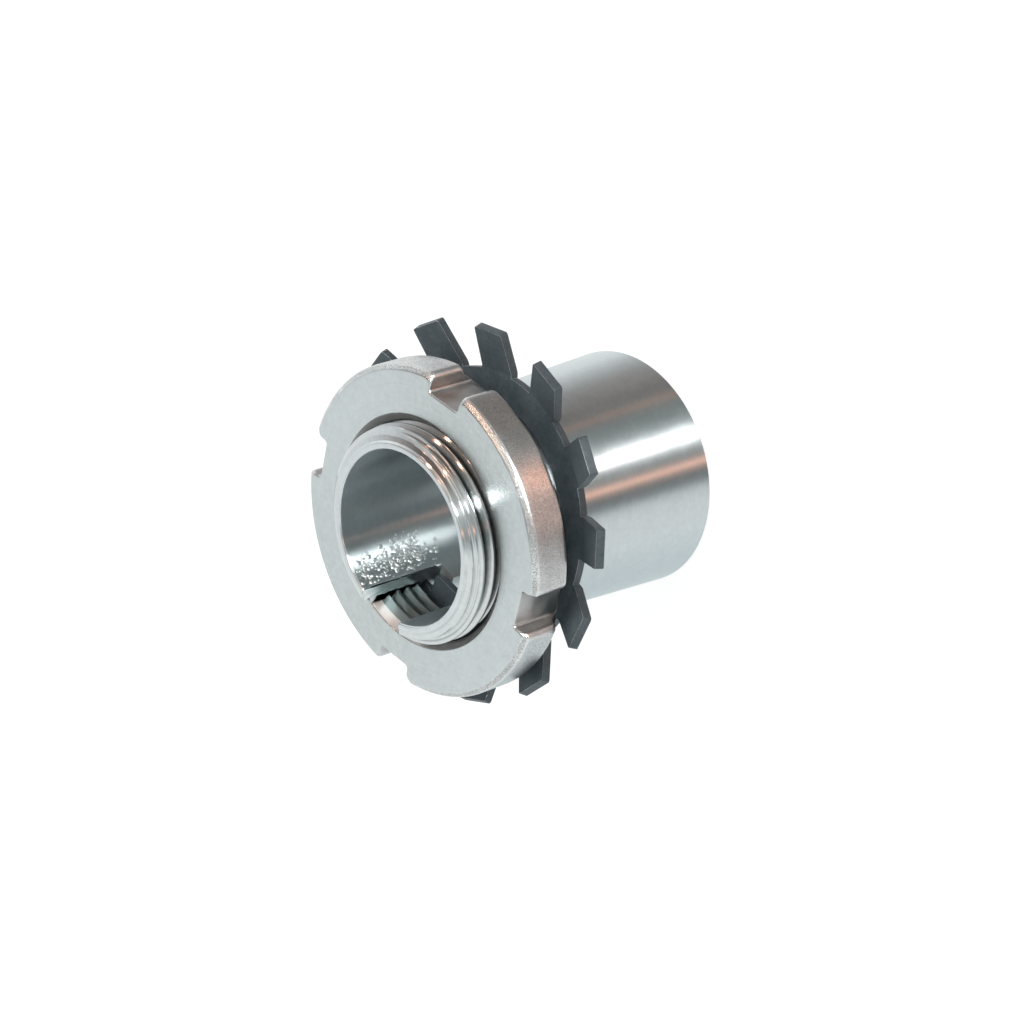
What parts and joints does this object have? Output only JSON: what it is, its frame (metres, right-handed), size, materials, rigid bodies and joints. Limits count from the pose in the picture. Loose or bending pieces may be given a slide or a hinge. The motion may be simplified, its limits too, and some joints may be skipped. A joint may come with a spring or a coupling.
{
  "type": "bearing adapter sleeve",
  "caption": "Split tapered sleeve with a threaded, slotted end, carrying a notched round lock nut and a toothed lock washer keyed in the slot.",
  "frame": {"origin": "centre of the large end's face, on which the part stands", "axes": "+Z along the bore toward the threaded end, +Y toward the wide slot"},
  "size_m": [0.0432, 0.0427, 0.035],
  "materials": {
    "sleeve_steel": "fine turned and ground steel, bright, lightly oiled",
    "nut_steel": "satin machined steel with a grainy rim",
    "washer_steel": "blackened spring steel with worn bright edges"
  },
  "bodies": {
    "sleeve": {"adapter_sleeve": "sleeve_steel"},
    "washer": {"lock_washer": "washer_steel"},
    "nut": {"lock_nut": "nut_steel"}
  },
  "joints": [
    {"name": "washer_slide", "type": "slide", "parent": "sleeve", "child": "washer", "axis": [0, 0, 1], "range_m": [0, 0.0045]},
    {"name": "nut_turn", "type": "hinge", "parent": "washer", "child": "nut", "pos_m": [0, 0, 0.02875], "axis": [0, 0, 1], "range_deg": [0, 1080]}
  ],
  "couplings": [
    {"joint": "washer_slide", "follows": "nut_turn", "m_per_rad": 0.00023873}
  ]
}
